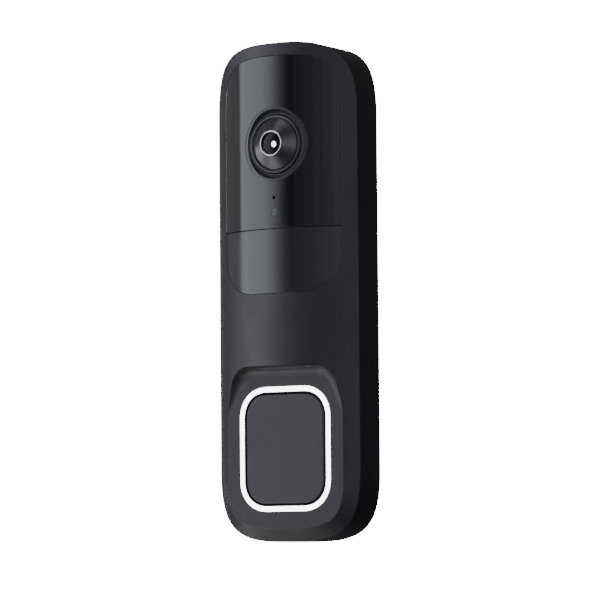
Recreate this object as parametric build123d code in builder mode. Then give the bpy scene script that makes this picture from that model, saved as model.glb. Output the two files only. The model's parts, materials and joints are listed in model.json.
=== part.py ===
"""Video doorbell, in millimetres: +Z up, the front faces -Y, and Y = 0 is the wall.

Every sketch is drawn in a plane parallel to the wall, at a distance out from it, so its two
directions are across (X) and up (Z), and extruding adds distance from the wall.
"""
import os
from math import cos, radians, sin, sqrt, tan

from build123d import *

# casing
width, height, depth = 45.8, 138.0, 17.7   # depth is from the wall to the front's apex
front_radius = 40.7                        # the front is part of an upright cylinder
corner, fullness = 19.9, 0.7887            # squircle corners: size, and where they cross the diagonal
rear_gap = 0.3                             # the casing stops this far from the wall
crease = 10.66                             # distance out at which the sides meet the front's lower margin
side_wall, thick_wall, front_wall = 1.6, 2.4, 2.2
step = 4.6                                 # the side wall thickens here, and the rear cover stops at it

# pad round the button
pad_out, pad_ceiling, pad_half, pad_top, ledge_radius, scoop = 13.08, 11.0, 18.9, -20.5, 8.5, 3.0
margin = 4.0

# window and motion lens
window_half, window_top, window_bottom, window_split = 18.9, 65.4, -0.5, 17.3
window_corners = ((15.9, 0.8093), (10.8, 0.7071))
glass, lens_skin, shelf = 1.2, 1.4, 1.6

# camera
camera_z, bezel_r, shroud_r, cone_r, ring_r = 40.85, 10.15, 8.2, 6.98, 3.6

# button and light ring
button_z, ring_half, ring_half_z, ring_corner, ring_stroke = -43.35, 14.8, 17.25, 8.8, 1.45
collar, button_gap, button_travel = 0.28, 0.3, 0.6

# boards
board_rear, board_front, board_half = 7.2, 8.2, 14.6
button_board_front = 8.0

# bracket
bracket_out, bracket_half, bracket_top, bracket_bottom = 2.0, 18.0, 65.4, -61.3
ear_out, ear_half, ear_length, ear_zs = 1.3, 19.4, 3.6, (-40.0, 0.0, 40.0)
wall_hole_r, wall_hole_spacing, lift = 2.1, 84.0, 4.2

# rear cover
cover_out, cover_front, cover_inset, rim = 3.0, 4.4, 1.75, 1.35
terminal_z, pocket_z, plunger_x, plunger_z = 18.5, 7.5, 9.0, 33.5
case_screws = [(-9.5, -64.4), (9.5, -64.4)] + [(x, z) for x in (-17.6, 17.6) for z in (4.0, 52.0)]
main_posts = [(x, z) for x in (-12.9, 12.9) for z in (0.8, 60.0)]
button_posts = [(x, z) for x in (-14.5, 14.5) for z in (-60.2, -26.2)]
lock_out, lock_r = 2.15, 1.25


def wall_plane(out):
    return Plane(origin=(0, -out, 0), x_dir=(1, 0, 0), z_dir=(0, -1, 0))


def soft_rect(half, top, bottom, corners, inset=0.0, mode=Mode.ADD):
    """A rectangle with blended corners, each pair (top, bottom) given as size and fullness."""
    half, top, bottom = half - inset, top - inset, bottom + inset
    sizes = []
    for size, full in corners:
        reach = size - inset
        cross = (full * size - inset * sqrt(0.5)) / reach
        sizes.append((reach, reach * (8 * cross - 4) / 3))
    (ct, kt), (cb, kb) = sizes
    with BuildLine() as loop:
        Bezier((half - ct, top), (half - ct + kt, top), (half, top - ct + kt), (half, top - ct))
        Line((half, top - ct), (half, bottom + cb))
        Bezier((half, bottom + cb), (half, bottom + cb - kb), (half - cb + kb, bottom),
               (half - cb, bottom))
        Line((half - cb, bottom), (cb - half, bottom))
        Bezier((cb - half, bottom), (cb - half - kb, bottom), (-half, bottom + cb - kb),
               (-half, bottom + cb))
        Line((-half, bottom + cb), (-half, top - ct))
        Bezier((-half, top - ct), (-half, top - ct + kt), (ct - half - kt, top), (ct - half, top))
        Line((ct - half, top), (half - ct, top))
    make_face(loop.edges(), mode=mode)


def body_outline(inset=0.0, mode=Mode.ADD):
    soft_rect(width / 2, height / 2, -height / 2, ((corner, fullness), (corner, fullness)), inset, mode)


def window_outline(inset=0.0, mode=Mode.ADD):
    soft_rect(window_half, window_top, window_bottom, window_corners, inset, mode)


def ring_outline(inset=0.0, mode=Mode.ADD):
    """The light ring's outer edge, drawn in by inset."""
    corners = ((ring_corner, 0.725), (ring_corner, 0.725))
    soft_rect(ring_half, button_z + ring_half_z, button_z - ring_half_z, corners, inset, mode)


def slab(out, thickness, mode=Mode.ADD, offset_in=None, shape=body_outline, inner=None):
    """Extrudes an outline, or the ring between two insets of it, from out."""
    with BuildSketch(wall_plane(out)) as area:
        shape(offset_in or 0.0)
        if inner is not None:
            shape(inner, mode=Mode.SUBTRACT)
    extrude(area.sketch, amount=thickness, mode=mode)


def block(x, z, out, wide, tall, thickness, mode=Mode.ADD, radius=0.0):
    """A box standing out from the wall plane, centred on x and z."""
    with BuildSketch(wall_plane(out)) as area:
        with Locations((x, z)):
            if radius:
                RectangleRounded(wide, tall, radius)
            else:
                Rectangle(wide, tall)
    extrude(area.sketch, amount=thickness, mode=mode)


def rod(x, z, out, radius, length, mode=Mode.ADD, bore=0.0):
    """A round post or tube standing out from the wall plane."""
    with BuildSketch(wall_plane(out)) as area:
        with Locations((x, z)):
            Circle(radius)
            if bore:
                Circle(bore, mode=Mode.SUBTRACT)
    extrude(area.sketch, amount=length, mode=mode)


def rods(places, out, radius, length, mode=Mode.ADD, bore=0.0):
    for x, z in places:
        rod(x, z, out, radius, length, mode, bore)


def front_skin(sink, mode=Mode.INTERSECT):
    """The upright cylinder whose surface lies sink behind the front's."""
    with Locations((0, front_radius - depth, 0)):
        Cylinder(front_radius - sink, 2 * height, mode=mode)


def revolve_about_lens(points, mode=Mode.ADD):
    """Turns a (radius, out) profile about the camera's axis."""
    with BuildSketch(Plane(origin=(0, 0, camera_z), x_dir=(1, 0, 0), z_dir=(0, 0, 1))) as section:
        with BuildLine():
            Polyline(*[(r, -out) for r, out in points], close=True)
        make_face()
    revolve(section.sketch, axis=Axis((0, 0, camera_z), (0, 1, 0)), mode=mode)


def coil(x, z, out, length, radius, wire, turns):
    """A spring wound about a line square to the wall."""
    path = Helix(length / turns, length, radius, center=(x, -out, z), direction=(0, -1, 0))
    with BuildSketch(Plane(origin=path @ 0, z_dir=path % 0)) as section:
        Circle(wire)
    sweep(section.sketch, path=path)


def save(piece, name):
    piece.part.label = name
    export_step(piece.part, f"parts/{name}.step")
    print(name, round(piece.part.volume, 2), len(piece.part.solids()))


os.makedirs("parts", exist_ok=True)

# ---------------------------------------------------------------- tools shared by the casing's cuts

with BuildPart() as cavity:
    slab(step, depth, offset_in=thick_wall)
    front_skin(front_wall)
    block(0, pad_top - 50, pad_ceiling, 60, 107, depth, Mode.SUBTRACT)
    slab(rear_gap, step - rear_gap, offset_in=side_wall)

with BuildPart() as pad_cut:
    with BuildSketch(wall_plane(pad_out)):
        with BuildLine():
            turn = radians(66)             # the ledge's corners stop short of upright and run out
            arc_end = (pad_half - ledge_radius * (1 - sin(turn)),
                       pad_top - ledge_radius * (1 - cos(turn)))
            side = 28.0
            foot = arc_end[1] - (side - arc_end[0]) * tan(turn)
            Line((ledge_radius - pad_half, pad_top), (pad_half - ledge_radius, pad_top))
            RadiusArc((pad_half - ledge_radius, pad_top), arc_end, ledge_radius)
            Polyline(arc_end, (side, foot), (side, -90), (-side, -90), (-side, foot),
                     (-arc_end[0], arc_end[1]))
            RadiusArc((-arc_end[0], arc_end[1]), (ledge_radius - pad_half, pad_top), ledge_radius)
        make_face()
    extrude(amount=12)
    floor_edges = [e for e in pad_cut.edges()
                   if abs(e.center().Y + pad_out) < 0.01 and e.center().Z > -50]
    fillet(floor_edges, scoop)

with BuildPart() as frustum:
    rise = 2.54                            # a touch over the pad's height, so the slope clears the sides
    with BuildSketch(wall_plane(crease)):
        body_outline()
    with BuildSketch(wall_plane(crease + rise)):
        body_outline(margin)
    loft(ruled=True)

with BuildPart() as margin_cut:
    block(0, -60, crease, 60, 30, rise)
    add(frustum.part, mode=Mode.SUBTRACT)

with BuildPart() as window_pocket:
    slab(step, 20, shape=window_outline, offset_in=-0.1)
    front_skin(0.1 + lens_skin, mode=Mode.SUBTRACT)

# ------------------------------------------------------------------------------------ casing

with BuildPart() as front_housing:
    slab(rear_gap, 25)
    front_skin(0)
    add(pad_cut.part, mode=Mode.SUBTRACT)
    add(margin_cut.part, mode=Mode.SUBTRACT)
    add(cavity.part, mode=Mode.SUBTRACT)
    add(window_pocket.part, mode=Mode.SUBTRACT)
    slab(step, 20, Mode.SUBTRACT, shelf, window_outline)
    slab(pad_ceiling - 1, 5, Mode.SUBTRACT, -0.02, ring_outline)
    rods(case_screws, step, 2.2, 6.0)
    for x, z in case_screws[2:]:           # webs from the side bosses to the wall
        web = 20.4 if x > 0 else -20.4
        block((x + web) / 2, z, step, abs(web - x) + 1.0, 2.4, 4.6)
    rods(case_screws, step, 1.15, 5.0, Mode.SUBTRACT)
    with Locations([(-width / 2, -7.4, -9.5 + 3.0 * i) for i in (-2, -1, 0, 1, 2)]):
        Box(6.5, 3.6, 1.2, mode=Mode.SUBTRACT)
    with Locations((0, -lock_out, -height / 2)):
        Cylinder(1.6, 8, mode=Mode.SUBTRACT)
save(front_housing, "front_housing")

with BuildPart() as rear_housing:
    slab(rear_gap, cover_front - rear_gap, offset_in=cover_inset)
    slab(rear_gap, cover_out - rear_gap, Mode.SUBTRACT, cover_inset + rim)
    for z in ear_zs:                       # ribs that the bracket's ears sit behind
        for x in (-19.3, 19.3):
            block(x, z, rear_gap, 1.6, ear_length, 0.6)
    block(0, -64.75, rear_gap, 6.4, 4.1, cover_front - rear_gap)
    block(0, pocket_z, cover_out, 22, 11, 3.4)
    block(0, pocket_z, cover_out - 1, 20, 9, 3.4, Mode.SUBTRACT)
    block(0, terminal_z, cover_out - 1, 27, 9.4, 4, Mode.SUBTRACT)
    rod(-plunger_x, plunger_z, cover_out, 2.6, 1.6)
    rods([(-plunger_x, plunger_z)], cover_out - 1, 1.55, 4, Mode.SUBTRACT)
    rods([(plunger_x, plunger_z)], cover_out - 1, 2.05, 4, Mode.SUBTRACT)
    rods(main_posts + button_posts, cover_front, 1.7, board_rear - cover_front)
    rods(main_posts + button_posts, cover_front, 0.95, board_rear - cover_front, Mode.SUBTRACT)
    rods(case_screws, cover_out - 1, 2.2, 1.6, Mode.SUBTRACT)
    rods(case_screws, cover_out - 1, 1.3, 4, Mode.SUBTRACT)
    slab(4.0, 1, Mode.SUBTRACT, 1.95, inner=2.65)
    with Locations((0, -lock_out, -62.8)):
        Cylinder(1.7, 12, mode=Mode.SUBTRACT)
save(rear_housing, "rear_housing")

with BuildPart() as perimeter_seal:
    slab(4.02, 0.56, offset_in=2.0, inner=2.6)
save(perimeter_seal, "perimeter_seal")

with BuildPart() as housing_screws:
    rods(case_screws, 2.4, 2.0, 1.15)
    rods(case_screws, 3.5, 1.1, 5.8)
    for x, z in case_screws:
        block(x, z, 2.4, 2.4, 0.5, 0.5, Mode.SUBTRACT)
        block(x, z, 2.4, 0.5, 2.4, 0.5, Mode.SUBTRACT)
save(housing_screws, "housing_screws")

with BuildPart() as window_panel:
    slab(step, 20, shape=window_outline)
    front_skin(0)
    front_skin(glass, mode=Mode.SUBTRACT)
    block(0, window_split - 30 + 0.1, step, 60, 60, 20, Mode.SUBTRACT)
    rod(0, camera_z, step, bezel_r + 0.03, 20, Mode.SUBTRACT)
    rod(0, 25.9, step, 0.45, 20, Mode.SUBTRACT)
    block(0, 21.8, step, 1.5, 2.0, 20, Mode.SUBTRACT)
save(window_panel, "window_panel")

with BuildPart() as pir_lens:
    slab(step, 20, shape=window_outline)
    front_skin(0.02)
    front_skin(lens_skin, mode=Mode.SUBTRACT)
    block(0, window_split + 30 - 0.1, step, 60, 60, 20, Mode.SUBTRACT)
save(pir_lens, "pir_lens")

with BuildPart() as window_adhesive:
    slab(step, 20, shape=window_outline, offset_in=0.3, inner=1.5)
    front_skin(glass + 0.05)
    front_skin(lens_skin + 0.05, mode=Mode.SUBTRACT)
    block(0, window_split - 30 + 0.1, step, 60, 60, 20, Mode.SUBTRACT)
save(window_adhesive, "window_adhesive")

with BuildPart() as lock_insert:
    with Locations((0, -lock_out, -64.85)):
        Cylinder(1.68, 4.3)
        Cylinder(lock_r + 0.03, 5, mode=Mode.SUBTRACT)
save(lock_insert, "lock_insert")

with BuildPart() as lock_screw:
    with Locations((0, -lock_out, -65.6)):
        Cylinder(lock_r, 6.0)
    chamfer(lock_screw.edges().group_by(Axis.Z)[-1], 0.4)
    with BuildSketch(Plane(origin=(0, -lock_out, -68.6))):
        RegularPolygon(0.75, 6)
    extrude(amount=2.0, mode=Mode.SUBTRACT)
save(lock_screw, "lock_screw")

# ------------------------------------------------------------------------------------ bracket

with BuildPart() as wall_bracket:
    with BuildSketch(wall_plane(0)):
        soft_rect(bracket_half, bracket_top, bracket_bottom, ((15.0, 0.8), (13.0, 0.78)))
    extrude(amount=bracket_out)
    with BuildSketch(wall_plane(0)):       # hollow behind, with a rim and a flat band down the middle
        soft_rect(bracket_half, bracket_top, bracket_bottom, ((15.0, 0.8), (13.0, 0.78)), 2.0)
        Rectangle(24, 200, mode=Mode.SUBTRACT)
        for z in ear_zs:
            with Locations((0, z)):
                Rectangle(60, 8, mode=Mode.SUBTRACT)
    extrude(amount=1.1, mode=Mode.SUBTRACT)
    for z in ear_zs:
        for x in (-1, 1):
            block(x * (bracket_half + ear_half - 1) / 2, z, ear_out, ear_half - bracket_half + 1,
                  ear_length, bracket_out - ear_out)
    block(0, 15.4, -1, 30, 27, 5, Mode.SUBTRACT, 3.0)
    block(0, bracket_bottom, -1, 8.0, 6.2, 5, Mode.SUBTRACT)
    wall_holes = [(0, wall_hole_spacing / 2), (0, -wall_hole_spacing / 2)]
    rods(wall_holes, -1, wall_hole_r, 5, Mode.SUBTRACT)
    rods(wall_holes, 1.2, 4.2, 2, Mode.SUBTRACT)
save(wall_bracket, "wall_bracket")

# ------------------------------------------------------------------------------------- camera

with BuildPart() as camera_bezel:
    revolve_about_lens([(8.4, 13.9), (11.6, 13.9), (11.6, 14.5), (bezel_r, 14.5), (bezel_r, 18.0),
                        (9.95, 18.0), (9.05, 16.35), (8.88, 16.2), (8.75, 16.27), (8.62, 16.42),
                        (8.4, 16.4)])
    front_skin(0.05)
save(camera_bezel, "camera_bezel")

with BuildPart() as camera_gasket:
    rod(0, camera_z, 13.2, 11.4, 0.65, bore=8.7)
save(camera_gasket, "camera_gasket")

with BuildPart() as camera_shroud:
    revolve_about_lens([(7.2, 13.2), (shroud_r, 13.2), (shroud_r, 16.4), (8.14, 16.75),
                        (7.95, 16.95), (7.7, 17.0), (7.45, 16.88), (7.32, 16.62), (7.2, 16.52),
                        (7.08, 16.62), (cone_r, 16.9), (5.6, 17.85), (4.6, 18.5), (ring_r + 0.1, 19.1),
                        (ring_r + 0.1, 18.3), (5.2, 16.9), (7.2, 16.1)])
save(camera_shroud, "camera_shroud")

with BuildPart() as lens_retaining_ring:
    revolve_about_lens([(3.0, 18.55), (ring_r, 18.55), (ring_r, 19.2), (3.4, 19.35), (3.2, 19.3),
                        (3.0, 19.0)])
save(lens_retaining_ring, "lens_retaining_ring")

with BuildPart() as lens_front_element:
    revolve_about_lens([(0, 18.4), (1.5, 18.3), (2.6, 18.05), (2.9, 18.05), (2.9, 18.5), (2.4, 18.75),
                        (1.6, 18.98), (0.8, 19.1), (0, 19.14)])
save(lens_front_element, "lens_front_element")

with BuildPart() as lens_barrel:
    revolve_about_lens([(1.2, 12.7), (3.3, 12.7), (3.3, 16.0), (3.55, 16.0), (3.55, 18.5),
                        (2.95, 18.5), (2.95, 18.0), (2.6, 18.0), (2.4, 17.5), (1.9, 17.4),
                        (1.7, 17.0), (1.2, 16.9)])
save(lens_barrel, "lens_barrel")

with BuildPart() as lens_rear_element:
    revolve_about_lens([(0, 15.0), (1.15, 15.0), (1.15, 16.9), (1.1, 17.2), (0.9, 17.45), (0.5, 17.6),
                        (0, 17.65)])
save(lens_rear_element, "lens_rear_element")

with BuildPart() as lens_holder:
    block(0, camera_z, 10.25, 13, 13, 2.2, radius=1)
    rod(0, camera_z, 12.45, 4.9, 3.3)
    block(0, camera_z, 10, 10, 10, 1.75, Mode.SUBTRACT)
    rod(0, camera_z, 10, 3.35, 8, Mode.SUBTRACT)
save(lens_holder, "lens_holder")

with BuildPart() as ir_cut_filter:
    block(0, camera_z, 11.3, 7.4, 7.4, 0.4)
save(ir_cut_filter, "ir_cut_filter")

with BuildPart() as image_sensor:
    block(0, camera_z, 10.2, 8.4, 7.6, 0.9)
save(image_sensor, "image_sensor")

with BuildPart() as camera_board:
    block(0, camera_z, 9.4, 20, 20, 0.8, radius=1.5)
save(camera_board, "camera_board")

with BuildPart() as infrared_leds:
    for x in (-12.6, 12.6):
        for z in (29.0, 54.0):
            block(x, z, board_front, 3.0, 3.0, 0.9)
            rod(x, z, board_front + 0.9, 1.2, 0.8)
save(infrared_leds, "infrared_leds")

# ------------------------------------------------------------------------ motion sensor and sound

with BuildPart() as pir_sensor:
    rod(0, 8.4, board_front, 4.6, 0.5)
    rod(0, 8.4, board_front + 0.5, 4.1, 3.9)
    block(0, 8.4, board_front + 4.2, 4.6, 3.2, 1, Mode.SUBTRACT)
save(pir_sensor, "pir_sensor")

with BuildPart() as pir_shade:
    with BuildSketch(Plane(origin=(0, 0, 8.4), x_dir=(1, 0, 0), z_dir=(0, 0, 1))):
        with BuildLine():
            Polyline((4.7, -9.4), (5.3, -9.4), (8.9, -14.6), (8.3, -14.6), close=True)
        make_face()
    revolve(axis=Axis((0, 0, 8.4), (0, 1, 0)))
save(pir_shade, "pir_shade")

with BuildPart() as microphone:
    block(0, 25.9, board_front, 3.6, 2.8, 1.1)
    rod(0, 25.9, board_front + 0.7, 0.4, 1, Mode.SUBTRACT)
save(microphone, "microphone")

with BuildPart() as microphone_boot:
    rod(0, 25.9, board_front + 1.1, 1.5, 16.45 - board_front - 1.1, bore=0.45)
save(microphone_boot, "microphone_boot")

with BuildPart() as light_sensor:
    block(0, 21.8, board_front, 2.0, 2.0, 0.8)
save(light_sensor, "light_sensor")

with BuildPart() as status_light_pipe:
    block(0, 21.8, board_front + 0.9, 1.4, 1.9, 10)
    front_skin(0.04)
save(status_light_pipe, "status_light_pipe")

with BuildPart() as speaker_frame:
    rod(0, -9.5, 4.7, 7.2, 4.3, bore=6.5)
    rod(0, -9.5, 4.7, 6.6, 0.3)
save(speaker_frame, "speaker_frame")

with BuildPart() as speaker_magnet:
    rod(0, -9.5, 5.05, 4.6, 1.6)
save(speaker_magnet, "speaker_magnet")

with BuildPart() as speaker_cone:
    with BuildSketch(Plane(origin=(0, 0, -9.5), x_dir=(1, 0, 0), z_dir=(0, 0, 1))):
        with BuildLine():
            Polyline((0, -8.4), (2.6, -7.9), (3.2, -7.2), (5.4, -8.2), (6.4, -8.2), (6.4, -8.5),
                     (5.3, -8.5), (3.2, -7.6), (2.7, -8.3), (0, -8.75), close=True)
        make_face()
    revolve(axis=Axis((0, 0, -9.5), (0, 1, 0)))
save(speaker_cone, "speaker_cone")

with BuildPart() as speaker_gasket:
    rod(0, -9.5, 9.0, 7.2, 1.0, bore=6.3)
save(speaker_gasket, "speaker_gasket")

with BuildPart() as speaker_mesh:
    with Locations((-20.3, -7.1, -9.5)):
        Box(0.25, 4.4, 15.0)
    with Locations([(-20.3, -7.1 + 1.4 * i, -9.5 + 1.6 * j) for i in (-1, 0, 1)
                    for j in (-4, -3, -2, -1, 0, 1, 2, 3, 4)]):
        Box(1, 1.0, 1.1, mode=Mode.SUBTRACT)
save(speaker_mesh, "speaker_mesh")

# --------------------------------------------------------------------------- button and light ring

with BuildPart() as light_ring:
    slab(pad_ceiling - 0.05, pad_out - pad_ceiling + 0.05, shape=ring_outline, offset_in=0.02,
         inner=ring_stroke)
    slab(10.4, pad_ceiling - 10.45, shape=ring_outline, offset_in=-1.0, inner=ring_stroke)
save(light_ring, "light_ring")

with BuildPart() as button_cap:
    slab(9.7, pad_out - 9.7, shape=ring_outline, offset_in=ring_stroke + collar + button_gap)
    fillet(button_cap.faces().sort_by(Axis.Y)[0].edges(), 0.5)
    slab(9.2, 0.55, shape=ring_outline, offset_in=ring_stroke - 0.25)
    slab(9.0, 2.6, Mode.SUBTRACT, ring_stroke + collar + button_gap + 1.4, ring_outline)
    rod(0, button_z, 10.4, 2.0, 1.4)
save(button_cap, "button_cap")

with BuildPart() as switch_plunger:
    rod(0, button_z, 8.95, 1.2, 1.43)
save(switch_plunger, "switch_plunger")

with BuildPart() as tactile_switch:
    block(0, button_z, button_board_front, 6.0, 6.0, 1.3)
    rod(0, button_z, button_board_front + 0.2, 1.25, 2, Mode.SUBTRACT)
save(tactile_switch, "tactile_switch")

with BuildPart() as button_return_spring:
    coil(0, button_z, 8.25, 3.1, 5.2, 0.22, 4)
save(button_return_spring, "button_return_spring")

with BuildPart() as button_board:
    block(0, -42.95, board_rear, 33.2, 38.1, button_board_front - board_rear, radius=4)
    rods(button_posts, board_rear - 1, 1.0, 3, Mode.SUBTRACT)
save(button_board, "button_board")

led_places = ([(x, button_z + z) for x in (-15.2, 15.2) for z in (-5.0, 0.0, 5.0)]
              + [(x, button_z + z) for x in (-3.0, 3.0) for z in (-17.65, 17.65)])
with BuildPart() as ring_carrier:          # channel for the ring's lights, and the collar inside the ring
    slab(button_board_front + 0.05, 2.3, shape=ring_outline, offset_in=-1.6, inner=0.7)
    slab(button_board_front, 2.05, Mode.SUBTRACT, -0.9, ring_outline, inner=0.1)
    slab(10.05, 0.3, shape=ring_outline, offset_in=-1.6, inner=ring_stroke + collar)
    slab(10.05, pad_out - 10.09, shape=ring_outline, offset_in=ring_stroke + 0.02,
         inner=ring_stroke + collar)
    for x, z in led_places:
        block(x, z, 9.5, *((0.9, 2.4) if abs(x) > 15 else (2.4, 0.9)), 2, Mode.SUBTRACT)
    rods(button_posts, button_board_front, 1.8, 2, Mode.SUBTRACT)
save(ring_carrier, "ring_carrier")

with BuildPart() as ring_leds:
    for x, z in led_places:
        wide, tall = (0.7, 1.6) if abs(x) > 15 else (1.6, 0.7)
        block(x, z, button_board_front, wide, tall, 0.7)
save(ring_leds, "ring_leds")

# ------------------------------------------------------------------------------------ electronics

with BuildPart() as main_board:
    block(0, 30.3, board_rear, 2 * board_half, 63.0, board_front - board_rear, radius=3)
    rods(main_posts, board_rear - 1, 1.0, 3, Mode.SUBTRACT)
save(main_board, "main_board")

with BuildPart() as main_chips:
    block(-3.5, 50.0, board_rear - 1.0, 9.0, 9.0, 1.0)
    block(6.0, 50.0, board_rear - 0.9, 6.0, 8.0, 0.9)
save(main_chips, "main_chips")

with BuildPart() as shield_can:
    block(0.5, 50.0, board_rear - 1.7, 21.0, 12.5, 1.7)
    block(0.5, 50.0, board_rear - 1.5, 20.5, 12.0, 2, Mode.SUBTRACT)
save(shield_can, "shield_can")

with BuildPart() as wireless_module:
    block(0, 57.0, board_front, 14.0, 7.0, 0.6)
    block(-1.5, 57.0, board_front + 0.6, 10.0, 6.0, 1.2)
save(wireless_module, "wireless_module")

with BuildPart() as antenna:
    block(0, 60.4, 13.0, 18.0, 3.2, 0.3)
save(antenna, "antenna")

with BuildPart() as antenna_coax:
    with BuildLine() as coax_line:
        Spline((5.0, -10.2, 57.0), (8.5, -10.9, 57.4), (9.6, -12.0, 59.0), (8.2, -12.5, 60.4),
               tangents=((1, 0, 0), (-1, -0.2, 0.6)))
    with BuildSketch(Plane(origin=coax_line.line @ 0, z_dir=coax_line.line % 0)):
        Circle(0.45)
    sweep()
save(antenna_coax, "antenna_coax")

with BuildPart() as power_coil:
    block(-10.6, 16.4, board_front, 5.2, 5.2, 2.2, radius=0.8)
save(power_coil, "power_coil")

with BuildPart() as capacitors:
    for x, z in ((10.8, 16.4), (-10.6, 23.4), (10.8, 22.6)):
        rod(x, z, board_front, 2.4, 3.4)
        block(x, z, board_front + 3.0, 3.0, 0.3, 1, Mode.SUBTRACT)
save(capacitors, "capacitors")

with BuildPart() as backup_cell:
    block(0, -41.5, 4.75, 24.0, 32.0, 2.1, radius=1.5)
    block(0, -24.6, 5.2, 20.0, 2.4, 0.8)
save(backup_cell, "backup_cell")


def ribbon(points, x, wide, thick=0.2):
    """A flat flex along (out, up) points, wide across."""
    with BuildSketch(Plane(origin=(x - wide / 2, 0, 0), x_dir=(0, 1, 0), z_dir=(1, 0, 0))) as side:
        with BuildLine() as loop:
            front = Spline(*[(-out, up) for out, up in points])
            back = Spline(*[(thick - out, up) for out, up in points])
            Line(front @ 0, back @ 0)
            Line(front @ 1, back @ 1)
        make_face(loop.edges())
    extrude(side.sketch, amount=wide)


with BuildPart() as camera_ribbon:
    ribbon([(10.42, 33.4), (10.7, 31.4), (9.9, 29.9), (8.9, 29.4), (8.55, 28.4)], 4.6, 6.0)
save(camera_ribbon, "camera_ribbon")

with BuildPart() as button_ribbon:
    ribbon([(8.4, 1.6), (8.9, -2.0), (9.2, -9.0), (8.9, -18.0), (8.2, -24.6)], 9.4, 3.0)
save(button_ribbon, "button_ribbon")

with BuildPart() as board_screws:
    for places, seat in ((main_posts, board_front), (button_posts, button_board_front)):
        rods(places, seat + 0.02, 1.6, 0.8)
        rods(places, cover_front + 0.4, 0.9, seat - cover_front - 0.35)
        for x, z in places:
            block(x, z, seat + 0.5, 2.0, 0.45, 1, Mode.SUBTRACT)
            block(x, z, seat + 0.5, 0.45, 2.0, 1, Mode.SUBTRACT)
save(board_screws, "board_screws")

# ------------------------------------------------------------------------------------------- rear

terminals = [(-7.0, terminal_z), (7.0, terminal_z)]
with BuildPart() as terminal_block:
    block(0, terminal_z, 2.5, 26.4, 9.0, 4.3)
    rods(terminals, 2.0, 1.45, 4.2, Mode.SUBTRACT)
save(terminal_block, "terminal_block")

with BuildPart() as terminal_plates:
    for x, z in terminals:
        block(x, z, 2.1, 7.6, 7.6, 0.38)
    rods(terminals, 1.5, 1.45, 2, Mode.SUBTRACT)
save(terminal_plates, "terminal_plates")

with BuildPart() as terminal_screws:
    rods(terminals, 1.0, 2.8, 1.08)
    rods(terminals, 2.05, 1.4, 4.0)
    for x, z in terminals:
        block(x, z, 0.9, 4.6, 0.7, 0.65, Mode.SUBTRACT)
save(terminal_screws, "terminal_screws")

with BuildPart() as tamper_plunger:
    rod(-plunger_x, plunger_z, 2.3, 1.5, 2.8)
    rod(-plunger_x, plunger_z, 4.7, 2.2, 0.4)
    fillet(tamper_plunger.faces().sort_by(Axis.Y)[-1].edges(), 0.5)
save(tamper_plunger, "tamper_plunger")

with BuildPart() as tamper_spring:
    coil(-plunger_x, plunger_z, 5.3, 1.6, 1.7, 0.13, 3)
save(tamper_spring, "tamper_spring")

with BuildPart() as reset_button:
    rod(plunger_x, plunger_z, 2.6, 2.0, 2.2)
    rod(plunger_x, plunger_z, 4.7, 3.0, 0.7)
    fillet(reset_button.faces().sort_by(Axis.Y)[-1].edges(), 0.4)
save(reset_button, "reset_button")

with BuildPart() as rear_switches:
    block(-plunger_x, plunger_z, 6.3, 2.0, 2.0, 0.9)
    block(plunger_x, plunger_z, 6.25, 4.6, 4.6, 0.95)
save(rear_switches, "rear_switches")
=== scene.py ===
import json
from math import cos, pi, radians, sin, sqrt

import bmesh
import bpy
from mathutils import Matrix, Vector


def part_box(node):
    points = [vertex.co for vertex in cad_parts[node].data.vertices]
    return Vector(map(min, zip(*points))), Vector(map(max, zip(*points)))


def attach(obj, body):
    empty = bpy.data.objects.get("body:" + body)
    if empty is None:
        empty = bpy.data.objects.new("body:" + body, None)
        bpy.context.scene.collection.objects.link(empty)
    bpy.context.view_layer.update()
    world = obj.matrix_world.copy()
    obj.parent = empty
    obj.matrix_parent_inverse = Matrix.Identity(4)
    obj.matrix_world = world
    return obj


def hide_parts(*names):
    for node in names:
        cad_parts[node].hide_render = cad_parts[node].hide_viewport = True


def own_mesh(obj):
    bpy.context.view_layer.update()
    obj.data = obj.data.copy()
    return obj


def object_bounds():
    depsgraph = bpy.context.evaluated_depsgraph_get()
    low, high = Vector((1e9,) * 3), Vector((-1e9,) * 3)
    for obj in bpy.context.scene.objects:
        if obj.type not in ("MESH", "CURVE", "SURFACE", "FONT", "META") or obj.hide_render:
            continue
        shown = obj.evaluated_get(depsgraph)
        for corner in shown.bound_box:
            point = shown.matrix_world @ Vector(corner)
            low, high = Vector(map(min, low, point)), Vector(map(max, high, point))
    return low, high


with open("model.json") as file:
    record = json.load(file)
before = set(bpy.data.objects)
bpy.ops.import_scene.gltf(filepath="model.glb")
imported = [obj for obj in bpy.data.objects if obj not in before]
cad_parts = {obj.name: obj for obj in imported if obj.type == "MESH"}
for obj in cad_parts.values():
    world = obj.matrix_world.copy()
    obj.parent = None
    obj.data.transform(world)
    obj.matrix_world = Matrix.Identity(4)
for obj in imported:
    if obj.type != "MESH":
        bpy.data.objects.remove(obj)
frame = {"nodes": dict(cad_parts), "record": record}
cad_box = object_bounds()
nodes = frame["nodes"]

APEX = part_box("front_housing")[0][1]        # y of the front's foremost line
CAMERA_Z = 0.04085                          # height of the camera's axis
CAMERA_RAY_WHITE = 17.0                     # radiance that the view transform shows as white


# ------------------------------------------------------------------ materials

def new_material(name):
    m = bpy.data.materials.new(name)
    m.use_nodes = True
    tree = m.node_tree
    tree.nodes.clear()
    out = tree.nodes.new("ShaderNodeOutputMaterial")
    bsdf = tree.nodes.new("ShaderNodeBsdfPrincipled")
    tree.links.new(bsdf.outputs[0], out.inputs["Surface"])
    return m, tree, bsdf


def add(tree, kind, **values):
    node = tree.nodes.new(kind)
    for key, value in values.items():
        if key in node.inputs:
            node.inputs[key].default_value = value
        else:
            setattr(node, key, value)
    return node


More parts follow.
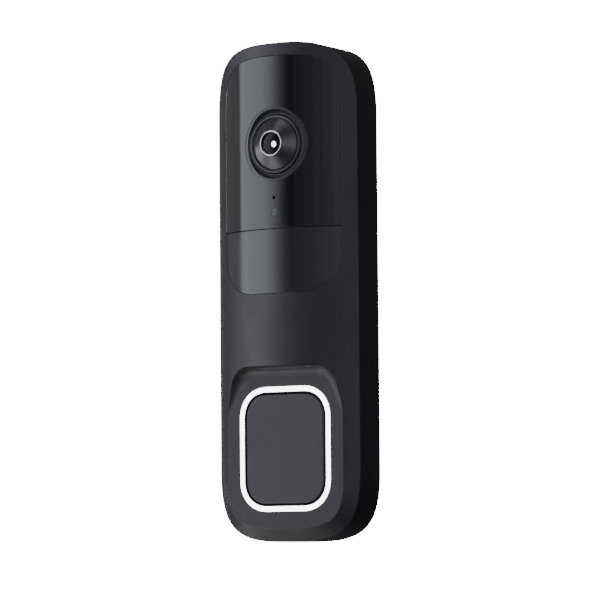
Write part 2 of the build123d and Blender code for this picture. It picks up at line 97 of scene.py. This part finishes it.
def noise(tree, scale, detail=4.0, stretch=(1, 1, 1), kind="NOISE"):
    at = add(tree, "ShaderNodeTexCoord")
    place = add(tree, "ShaderNodeMapping")
    place.inputs["Scale"].default_value = stretch
    tree.links.new(at.outputs["Object"], place.inputs["Vector"])
    if kind == "NOISE":
        n = add(tree, "ShaderNodeTexNoise", Scale=scale, Detail=detail)
        result = n.outputs["Fac"]
    else:
        n = add(tree, "ShaderNodeTexVoronoi", Scale=scale)
        result = n.outputs["Distance"]
    tree.links.new(place.outputs[0], n.inputs["Vector"])
    return result


def ramp(tree, value, low, high, a=0.35, b=0.65):
    r = add(tree, "ShaderNodeValToRGB")
    r.color_ramp.elements[0].position, r.color_ramp.elements[1].position = a, b
    r.color_ramp.elements[0].color = (*low, 1)
    r.color_ramp.elements[1].color = (*high, 1)
    tree.links.new(value, r.inputs[0])
    return r.outputs[0]


def spread(tree, value, low, high):
    m = add(tree, "ShaderNodeMapRange")
    m.inputs["From Min"].default_value, m.inputs["From Max"].default_value = 0.3, 0.7
    m.inputs["To Min"].default_value, m.inputs["To Max"].default_value = low, high
    tree.links.new(value, m.inputs["Value"])
    return m.outputs[0]


def tint(color, k):
    return tuple(min(1.0, c * k) for c in color)


def surface(name, color, rough, grain=9000.0, bump=0.15, vary=0.08, stretch=(1, 1, 1),
            metallic=0.0, specular=0.5, coat=0.0, edge=0.0, depth=2e-5, rough_vary=0.06,
            transmission=0.0):
    """A moulded, machined or printed surface.

    It has fine grain, slow drift of colour and gloss, and edges softened over the radius edge.
    """
    m, tree, bsdf = new_material(name)
    bsdf.inputs["Metallic"].default_value = metallic
    bsdf.inputs["Specular IOR Level"].default_value = specular
    bsdf.inputs["Coat Weight"].default_value = coat
    bsdf.inputs["Coat Roughness"].default_value = 0.05
    bsdf.inputs["Transmission Weight"].default_value = transmission
    bsdf.inputs["IOR"].default_value = 1.5
    fine = noise(tree, grain, 3.0, stretch)
    slow = noise(tree, 55.0, 3.0)
    drift = ramp(tree, slow, tint(color, 1 - vary), tint(color, 1 + vary))
    grit = ramp(tree, fine, (1 - vary,) * 3, (1 + vary,) * 3)
    both = add(tree, "ShaderNodeMix", data_type="RGBA", blend_type="MULTIPLY")
    both.inputs["Factor"].default_value = 1.0
    tree.links.new(drift, both.inputs["A"])
    tree.links.new(grit, both.inputs["B"])
    tree.links.new(both.outputs["Result"], bsdf.inputs["Base Color"])
    wander = noise(tree, 120.0, 5.0)
    tree.links.new(spread(tree, wander, rough - rough_vary, rough + rough_vary),
                   bsdf.inputs["Roughness"])
    b = add(tree, "ShaderNodeBump", Strength=bump, Distance=depth)
    tree.links.new(fine, b.inputs["Height"])
    if edge:
        soft = add(tree, "ShaderNodeBevel", samples=6, Radius=edge)
        tree.links.new(soft.outputs[0], b.inputs["Normal"])
    tree.links.new(b.outputs[0], bsdf.inputs["Normal"])
    return m


def shader_of(tree):
    return next(n for n in tree.nodes if n.type == "BSDF_PRINCIPLED")


def circuit_board(name):
    """Green solder mask over tracks, with tinned pads."""
    m = surface(name, (0.012, 0.075, 0.03), 0.32, grain=4000, bump=0.05, vary=0.15, coat=0.3)
    tree = m.node_tree
    bsdf = shader_of(tree)
    base = bsdf.inputs["Base Color"].links[0].from_socket
    at = add(tree, "ShaderNodeTexCoord")
    turn = add(tree, "ShaderNodeMapping")
    turn.inputs["Rotation"].default_value = (radians(90), 0, 0)
    tree.links.new(at.outputs["Object"], turn.inputs["Vector"])
    tracks = add(tree, "ShaderNodeTexBrick", Scale=420.0)
    tracks.inputs["Color1"].default_value = (0.010, 0.065, 0.026, 1)
    tracks.inputs["Color2"].default_value = (0.016, 0.092, 0.038, 1)
    tracks.inputs["Mortar"].default_value = (0.035, 0.17, 0.075, 1)
    tracks.inputs["Mortar Size"].default_value = 0.03
    tree.links.new(turn.outputs[0], tracks.inputs["Vector"])
    mixed = add(tree, "ShaderNodeMix", data_type="RGBA")
    mixed.inputs["Factor"].default_value = 0.6
    tree.links.new(base, mixed.inputs["A"])
    tree.links.new(tracks.outputs["Color"], mixed.inputs["B"])
    pads = noise(tree, 620.0, kind="VORONOI")
    dots = ramp(tree, pads, (1, 1, 1), (0, 0, 0), 0.12, 0.15)
    tinned = add(tree, "ShaderNodeMix", data_type="RGBA")
    tinned.inputs["B"].default_value = (0.62, 0.6, 0.52, 1)
    tree.links.new(dots, tinned.inputs["Factor"])
    tree.links.new(mixed.outputs["Result"], tinned.inputs["A"])
    tree.links.new(tinned.outputs["Result"], bsdf.inputs["Base Color"])
    return m


def glowing(name):
    """The light ring: milky plastic whose front face shines and whose flanks barely do."""
    m = surface(name, (0.9, 0.92, 0.95), 0.4, grain=3000, bump=0.03, vary=0.02)
    tree = m.node_tree
    bsdf = shader_of(tree)
    at = add(tree, "ShaderNodeTexCoord")
    parts = add(tree, "ShaderNodeSeparateXYZ")
    tree.links.new(at.outputs["Normal"], parts.inputs[0])
    face = add(tree, "ShaderNodeMapRange")
    for key, value in (("From Min", -0.6), ("From Max", -0.9), ("To Min", 0.04), ("To Max", 6.5)):
        face.inputs[key].default_value = value
    tree.links.new(parts.outputs["Y"], face.inputs["Value"])
    bsdf.inputs["Emission Color"].default_value = (0.97, 0.985, 1.0, 1)
    tree.links.new(face.outputs[0], bsdf.inputs["Emission Strength"])
    return m


def glass_with_painted_rim_reflection(name):
    """The front lens: nearly black inside, its base colour lighter and violet toward the rim, a
    painted reflection of its coating.
    """
    m = surface(name, (0.004, 0.004, 0.006), 0.05, specular=0.14, grain=2500, bump=0.0, vary=0.03,
                rough_vary=0.01)
    tree = m.node_tree
    bsdf = shader_of(tree)
    at = add(tree, "ShaderNodeTexCoord")
    middle = add(tree, "ShaderNodeMapping")
    middle.inputs["Location"].default_value = (0, 0, -CAMERA_Z)
    middle.inputs["Scale"].default_value = (1, 0, 1)
    away = add(tree, "ShaderNodeVectorMath", operation="LENGTH")
    tree.links.new(at.outputs["Object"], middle.inputs["Vector"])
    tree.links.new(middle.outputs[0], away.inputs[0])
    reach = add(tree, "ShaderNodeMapRange")
    for key, value in (("From Min", 0.0), ("From Max", 0.0029)):
        reach.inputs[key].default_value = value
    tree.links.new(away.outputs["Value"], reach.inputs["Value"])
    # painted reflection: the base colour grows lighter and violet toward the lens rim
    painted_rim_reflection = ramp(tree, reach.outputs[0], (0.002, 0.002, 0.003), (0.007, 0.0065, 0.010), 0.35, 0.95)
    tree.links.new(painted_rim_reflection, bsdf.inputs["Base Color"])
    return m


GLOSSY = dict(grain=2500, bump=0.01, vary=0.03, rough_vary=0.015)
looks = {
    "case_black": surface("case_black", (0.0185, 0.0178, 0.0212), 0.41, specular=0.36, edge=0.00035,
                          bump=0.2),
    "window_gloss": surface("window_gloss", (0.006, 0.006, 0.008), 0.09, edge=0.0002, **GLOSSY),
    "lens_satin": surface("lens_satin", (0.017, 0.017, 0.02), 0.15, edge=0.0002, **GLOSSY),
    "button_black": surface("button_black", (0.0168, 0.016, 0.0192), 0.4, specular=0.45,
                            edge=0.0003, bump=0.18),
    "light_guide": glowing("light_guide"),
    "case_rear": surface("case_rear", (0.035, 0.035, 0.038), 0.55, bump=0.4, grain=5000,
                         edge=0.0002),
    "bracket_black": surface("bracket_black", (0.045, 0.045, 0.048), 0.6, bump=0.5, grain=4000,
                             edge=0.0002),
    "seal_rubber": surface("seal_rubber", (0.016, 0.016, 0.016), 0.75, grain=3500, bump=0.3,
                           vary=0.15, edge=0.0002),
    "bezel_black": surface("bezel_black", (0.024, 0.024, 0.028), 0.3, edge=0.00012, **GLOSSY),
    "black_plastic": surface("black_plastic", (0.02, 0.02, 0.021), 0.45, grain=6000, edge=0.00015),
    "white_plastic": surface("white_plastic", (0.72, 0.72, 0.7), 0.45, grain=6000, vary=0.03,
                             edge=0.00015),
    "clear_plastic": surface("clear_plastic", (0.3, 0.32, 0.35), 0.12, transmission=0.85,
                             **GLOSSY),
    "optical_glass": glass_with_painted_rim_reflection("optical_glass"),
    "filter_glass": surface("filter_glass", (0.5, 0.8, 0.85), 0.03, transmission=0.9, **GLOSSY),
    "anodised_ring": surface("anodised_ring", (0.6, 0.61, 0.63), 0.25, metallic=1.0, grain=7000,
                             bump=0.05, vary=0.05),
    "barrel_metal": surface("barrel_metal", (0.015, 0.015, 0.016), 0.35, grain=6000, bump=0.1),
    "steel": surface("steel", (0.52, 0.52, 0.53), 0.28, metallic=1.0, stretch=(1, 1, 12),
                     grain=2500, bump=0.1, vary=0.06, edge=0.0001),
    "black_steel": surface("black_steel", (0.045, 0.045, 0.05), 0.35, metallic=0.6, grain=5000,
                           edge=0.0001),
    "brass": surface("brass", (0.66, 0.46, 0.17), 0.25, metallic=1.0, grain=2500,
                     stretch=(1, 1, 10), bump=0.08, edge=0.0001),
    "circuit_board": circuit_board("circuit_board"),
    "chip_epoxy": surface("chip_epoxy", (0.022, 0.022, 0.024), 0.5, grain=9000, bump=0.3,
                          edge=0.0001),
    "sensor_glass": surface("sensor_glass", (0.05, 0.03, 0.08), 0.08, coat=0.8, **GLOSSY),
    "flex_amber": surface("flex_amber", (0.45, 0.2, 0.03), 0.25, grain=1500, bump=0.05, vary=0.2,
                          stretch=(6, 1, 1), coat=0.4),
    "cell_wrap": surface("cell_wrap", (0.6, 0.61, 0.63), 0.35, metallic=0.85, grain=260, bump=0.25,
                         vary=0.05, depth=1e-4),
    "ferrite": surface("ferrite", (0.07, 0.07, 0.075), 0.6, grain=3000, bump=0.4, vary=0.2),
    "cap_sleeve": surface("cap_sleeve", (0.015, 0.02, 0.09), 0.25, grain=2000, bump=0.04,
                          coat=0.4),
    "foam": surface("foam", (0.03, 0.03, 0.03), 0.9, grain=2500, bump=0.8, vary=0.3, depth=1e-4),
    "lens_bead": surface("lens_bead", (0.75, 0.8, 0.88), 0.08, coat=1.0, **GLOSSY),
    "led_resin": surface("led_resin", (0.85, 0.78, 0.4), 0.3, grain=2500, bump=0.05),
}

slot_of = {s["node"]: s["material_slot"] for s in frame["record"]["subparts"]}
for name, obj in nodes.items():
    for slot in obj.material_slots:
        slot.material = looks[slot_of[name]]


# ------------------------------------------------------------------ own pieces

def stand_in(name, node, verts, faces, sharp):
    """A mesh with the looks of a CAD node, shown in that node's place on the doorbell."""
    mesh = bpy.data.meshes.new(name)
    mesh.from_pydata(verts, [], faces)
    edit = bmesh.new()
    edit.from_mesh(mesh)
    bmesh.ops.recalc_face_normals(edit, faces=edit.faces)
    edit.to_mesh(mesh)
    edit.free()
    mesh.shade_smooth()
    mesh.set_sharp_from_angle(angle=radians(sharp))
    mesh.materials.append(looks[slot_of[node]])
    obj = bpy.data.objects.new(name, mesh)
    bpy.context.scene.collection.objects.link(obj)
    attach(obj, "doorbell")
    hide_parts(node)
    return obj


def turned(name, node, profile, around=128):
    """A smooth piece turned about the camera's axis, in place of node.

    The profile is a closed loop of (radius, distance out from the wall), in mm.
    """
    verts, faces, rings = [], [], []
    for r, out in profile:
        first = len(verts)
        count = around if r > 0 else 1
        for k in range(count):
            a = 2 * pi * k / count
            verts.append((r * cos(a) / 1000, -out / 1000, CAMERA_Z + r * sin(a) / 1000))
        rings.append((first, count))
    for (a, na), (b, nb) in zip(rings, rings[1:] + rings[:1]):
        for k in range(around):
            j = (k + 1) % around
            quad = [a + k % na, a + j % na, b + j % nb, b + k % nb]
            corner = list(dict.fromkeys(quad))
            if len(corner) > 2:
                faces.append(corner)
    return stand_in(name, node, verts, faces, sharp=40)


def dome(radius, rim, crown, steps=14):
    """Profile points of a spherical cap, from its rim to its crown."""
    return [(rim * k / steps, crown - radius + sqrt(radius**2 - (rim * k / steps) ** 2))
            for k in range(steps, -1, -1)]


front_lens = turned("lens_front_glass", "lens_front_element",
                    [(0, 18.4), (1.5, 18.3), (2.6, 18.05), (2.95, 18.05)] + dome(11.0, 2.95, 19.14))
lip = [(3.37 - 0.23 * cos(radians(a)), 19.1 + 0.23 * sin(radians(a))) for a in range(0, 181, 12)]
turned("lens_trim_ring", "lens_retaining_ring", [(3.14, 18.55)] + lip + [(3.6, 18.55)])


def spring(name, node, wire, turns, around=10, per_turn=36):
    """A round-wire coil in place of node."""
    low, high = (Vector(c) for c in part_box(node))
    middle = (low + high) / 2
    radius = (high.x - low.x) / 2 - wire
    start, end = high.y - wire, low.y + wire
    steps = turns * per_turn
    pitch = (end - start) / turns / (2 * pi)
    verts, faces = [], []
    for i in range(steps + 1):
        a = 2 * pi * i / per_turn
        out = Vector((cos(a), 0, sin(a)))
        along = Vector((-radius * sin(a), pitch, radius * cos(a))).normalized()
        side = along.cross(out)
        centre = Vector((middle.x, start + (end - start) * i / steps, middle.z)) + radius * out
        for k in range(around):
            b = 2 * pi * k / around
            verts.append(centre + wire * (cos(b) * out + sin(b) * side))
    for i in range(steps):
        for k in range(around):
            j = (k + 1) % around
            here, ahead = i * around, (i + 1) * around
            faces.append([here + k, here + j, ahead + j, ahead + k])
    faces += [list(range(around))[::-1], [steps * around + k for k in range(around)]]
    obj = stand_in(name, node, verts, faces, sharp=50)
    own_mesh(obj)


spring("button_coil", "button_return_spring", 0.00022, 4)
spring("tamper_coil", "tamper_spring", 0.00013, 3)


# ------------------------------------------------------------------ stage

floor_z = cad_box[0][2] - 0.75

def stage_floor():
    bpy.ops.mesh.primitive_plane_add(size=12, location=(0, 0, floor_z))
    floor = bpy.context.object
    floor.name = "studio_floor"
    m, tree, bsdf = new_material("studio_floor")
    bsdf.inputs["Base Color"].default_value = (0.12, 0.12, 0.12, 1)
    bsdf.inputs["Roughness"].default_value = 0.6
    out = next(n for n in tree.nodes if n.type == "OUTPUT_MATERIAL")
    white = add(tree, "ShaderNodeEmission", Color=(1, 1, 1, 1), Strength=CAMERA_RAY_WHITE)
    seen = add(tree, "ShaderNodeLightPath")
    mix = add(tree, "ShaderNodeMixShader")
    part = add(tree, "ShaderNodeMath", operation="MULTIPLY")
    part.inputs[1].default_value = 0.92
    tree.links.new(seen.outputs["Is Camera Ray"], part.inputs[0])
    tree.links.new(part.outputs[0], mix.inputs[0])
    tree.links.new(bsdf.outputs[0], mix.inputs[1])
    tree.links.new(white.outputs[0], mix.inputs[2])
    tree.links.new(mix.outputs[0], out.inputs["Surface"])
    floor.data.materials.append(m)


def stage_world():
    world = bpy.data.worlds.new("studio")
    bpy.context.scene.world = world
    world.use_nodes = True
    tree = world.node_tree
    tree.nodes.clear()
    out = tree.nodes.new("ShaderNodeOutputWorld")
    dim = add(tree, "ShaderNodeBackground", Color=(0.88, 0.9, 1.0, 1), Strength=0.1)
    white = add(tree, "ShaderNodeBackground", Color=(1, 1, 1, 1), Strength=CAMERA_RAY_WHITE)
    seen = add(tree, "ShaderNodeLightPath")
    mix = add(tree, "ShaderNodeMixShader")
    tree.links.new(seen.outputs["Is Camera Ray"], mix.inputs[0])
    tree.links.new(dim.outputs[0], mix.inputs[1])
    tree.links.new(white.outputs[0], mix.inputs[2])
    tree.links.new(mix.outputs[0], out.inputs[0])


def softbox(name, azimuth, elevation, distance, wide, tall, radiance, target=(0, -0.01, 0),
            only=None, tone=(1, 1, 1), shape="RECTANGLE"):
    """A rectangular light, its azimuth counted from the front, to the right positive.

    With only, it lights nothing but that object."""
    a, e = radians(azimuth), radians(elevation)
    way = Vector((sin(a) * cos(e), -cos(a) * cos(e), sin(e)))
    light = bpy.data.lights.new(name, "AREA")
    light.shape = shape
    light.size, light.size_y = wide, tall
    light.energy = radiance * pi * wide * tall
    light.color = tone
    obj = bpy.data.objects.new(name, light)
    obj.location = Vector(target) + way * distance
    obj.rotation_mode = "QUATERNION"
    obj.rotation_quaternion = way.to_track_quat("Z", "Y")
    obj.visible_camera = False
    bpy.context.scene.collection.objects.link(obj)
    if only:
        lit = bpy.data.collections.new(f"{name}_lit")
        lit.objects.link(only)
        obj.light_linking.receiver_collection = lit
    return obj


def stage_lights():
    # a tall key on the left, sharp at its far edge and fading away towards the front
    reach, step = 1.3, 3.0
    fall = (1.0, 1.0, 1.0, 1.0, 1.0, 1.0, 1.0, 1.0, 0.98, 0.9, 0.78, 0.64, 0.47, 0.3, 0.15, 0.06)
    for i, share in enumerate(fall):
        softbox(f"key_{i}", -67.0 + step * i, 6, reach, 2 * reach * sin(radians(step / 2)) * 1.01,
                1.9, 3.1 * share, tone=(0.93, 0.97, 1.06))
    for i in range(9):                     # a faint fill that grows to the right
        softbox(f"fill_{i}", -10 + 8.0 * i, 6, 1.4, 2 * 1.4 * sin(radians(4)), 1.5,
                0.15 + 0.07 * i + 0.014 * i * i, tone=(0.86, 0.88, 1.0))
    for i in range(4):                     # dim strips left of the key, for the left rim
        softbox(f"rim_{i}", -85 + 4.5 * i, 6, 1.3, 2 * 1.3 * sin(radians(2.25)), 1.7, 0.55)
    softbox("top_light", 0, 80, 1.4, 1.2, 1.0, 1.8)
    spot = softbox("lens_spot", -23, 4.4, 1.0, 0.27, 0.27, 240, (0, APEX, CAMERA_Z), front_lens,
                   shape="ELLIPSE")
    spot.visible_diffuse = False
    softbox("cone_left", -98, -16, 1.0, 0.5, 0.7, 2.6, (0, APEX, CAMERA_Z), nodes["camera_shroud"])
    softbox("cone_right", 38, 4, 1.0, 0.26, 0.4, 1.6, (0, APEX, CAMERA_Z), nodes["camera_shroud"])
    # from below and to the left, for the surfaces that look down
    softbox("low_left", -50, -38, 0.42, 0.4, 0.16, 3.0, (0, -0.01, -0.05))
    softbox("back_light", 232, 8, 1.6, 0.7, 1.4, 8.0)


def stage_camera():
    yaw, pitch, roll = radians(32.48), radians(4.41), radians(-0.472)
    forward = Vector((-sin(yaw) * cos(pitch), cos(yaw) * cos(pitch), sin(pitch)))
    right = Vector((cos(yaw), sin(yaw), 0))
    up = right.cross(forward)
    right, up = cos(roll) * right + sin(roll) * up, cos(roll) * up - sin(roll) * right
    distance, across, above = 0.9572, -0.00697, 0.00248
    cam = bpy.data.cameras.new("camera")
    cam.sensor_width, cam.lens = 36.0, 208.4
    cam.clip_start, cam.clip_end = 0.02, 50
    obj = bpy.data.objects.new("camera", cam)
    at = Vector((0, APEX, 0)) - (across * right + above * up + distance * forward)
    turn = Matrix((right, up, -forward)).transposed()
    obj.matrix_world = Matrix.Translation(at) @ turn.to_4x4()
    bpy.context.scene.collection.objects.link(obj)
    bpy.context.scene.camera = obj


stage_floor()
stage_world()
stage_lights()
stage_camera()

bpy.context.view_layer.update()
